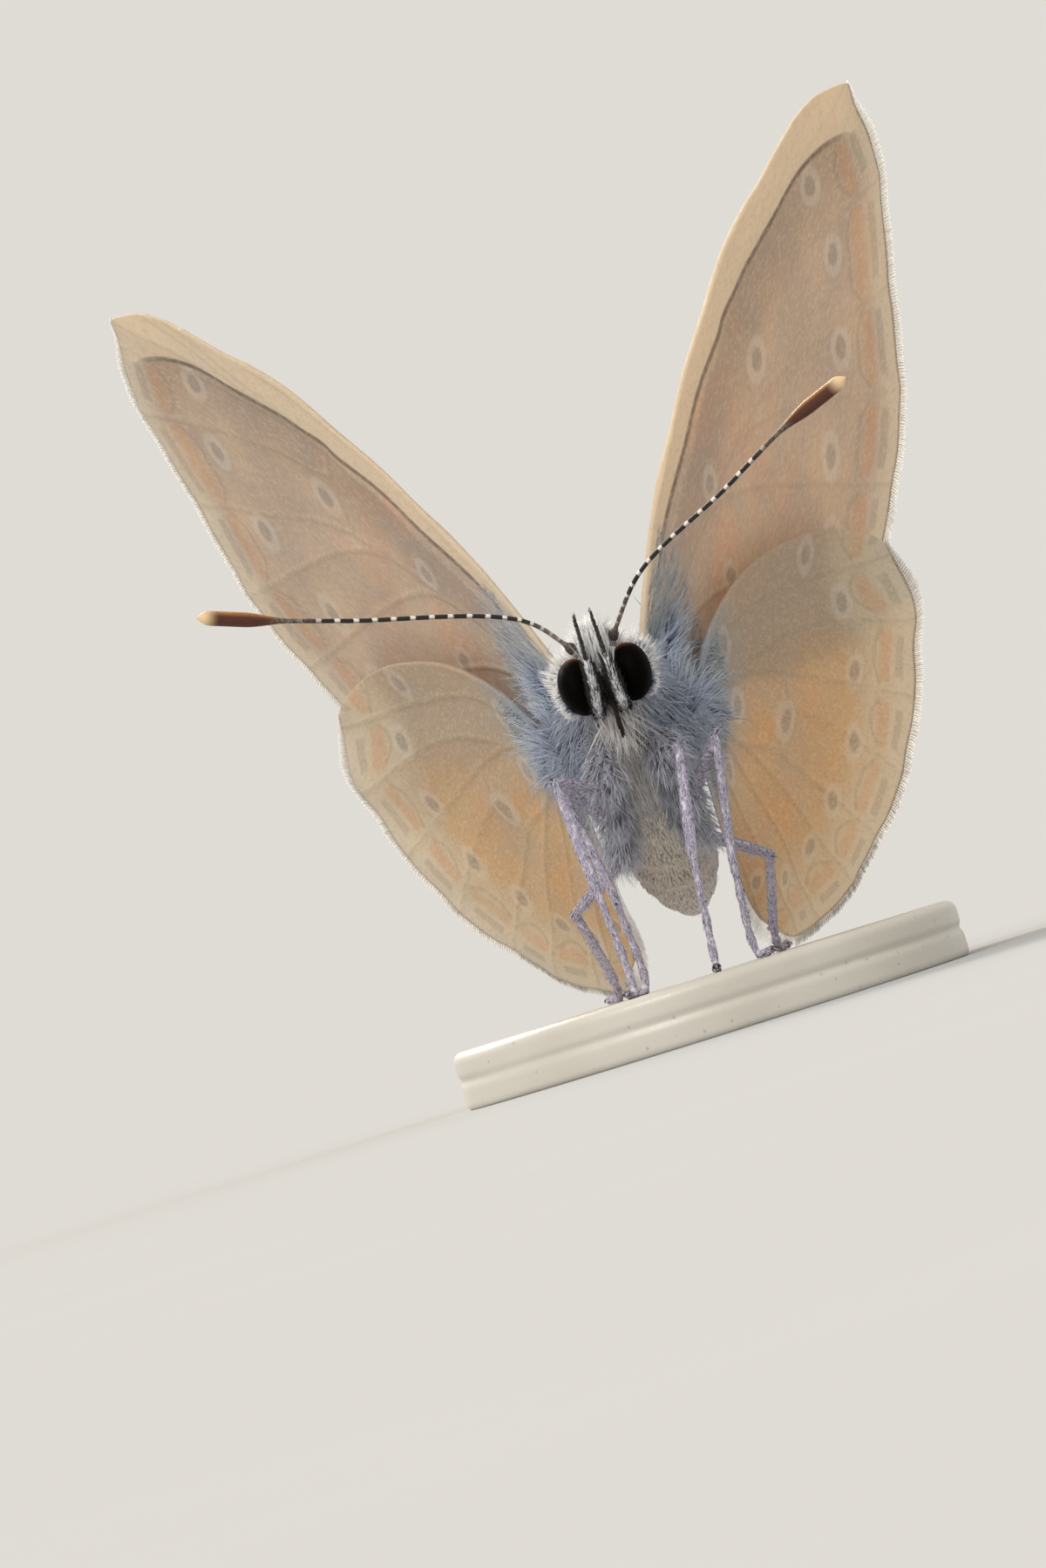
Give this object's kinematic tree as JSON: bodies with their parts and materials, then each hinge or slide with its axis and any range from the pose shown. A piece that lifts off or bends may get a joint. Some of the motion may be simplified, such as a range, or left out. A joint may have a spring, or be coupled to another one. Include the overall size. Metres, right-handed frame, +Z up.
{
  "type": "common blue butterfly specimen model",
  "caption": "Small gossamer-winged butterfly standing still with half-open pale wings on a round base.",
  "frame": {"origin": "centre of the base's underside, on the floor", "axes": "+Z up; the butterfly faces -Y and its left side is +X"},
  "size_m": [0.0178, 0.019, 0.0189],
  "materials": {
    "stand": "matt off-white plaster",
    "chest_hair": "long soft blue-grey hair",
    "abdomen_scales": "pale grey-buff scales",
    "head_scales": "white scales and bristles",
    "eye": "faceted glossy black",
    "palp_scales": "white scales with black bristles",
    "tongue": "dark brown coiled tube",
    "feeler": "black with narrow white rings",
    "feeler_club": "dark brown to orange with a pale tip",
    "forewing": "thin translucent buff scales with a white fringe",
    "hindwing": "thin translucent buff and ochre scales with a white fringe",
    "leg_scales": "lavender-white scales with black spines"
  },
  "bodies": {
    "root": {"stand_base": "stand", "thorax": "chest_hair", "collar": "chest_hair", "abdomen": "abdomen_scales", "head": "head_scales", "tongue": "tongue", "eye_left": "eye", "palp_left": "palp_scales", "feeler_left": "feeler", "feeler_club_left": "feeler_club", "forewing_left": "forewing", "hindwing_left": "hindwing", "leg_fore_upper_left": "leg_scales", "leg_fore_lower_left": "leg_scales", "leg_mid_upper_left": "leg_scales", "leg_mid_lower_left": "leg_scales", "leg_hind_upper_left": "leg_scales", "leg_hind_lower_left": "leg_scales", "eye_right": "eye", "palp_right": "palp_scales", "feeler_right": "feeler", "feeler_club_right": "feeler_club", "forewing_right": "forewing", "hindwing_right": "hindwing", "leg_fore_upper_right": "leg_scales", "leg_fore_lower_right": "leg_scales", "leg_mid_upper_right": "leg_scales", "leg_mid_lower_right": "leg_scales", "leg_hind_upper_right": "leg_scales", "leg_hind_lower_right": "leg_scales"}
  },
  "joints": []
}
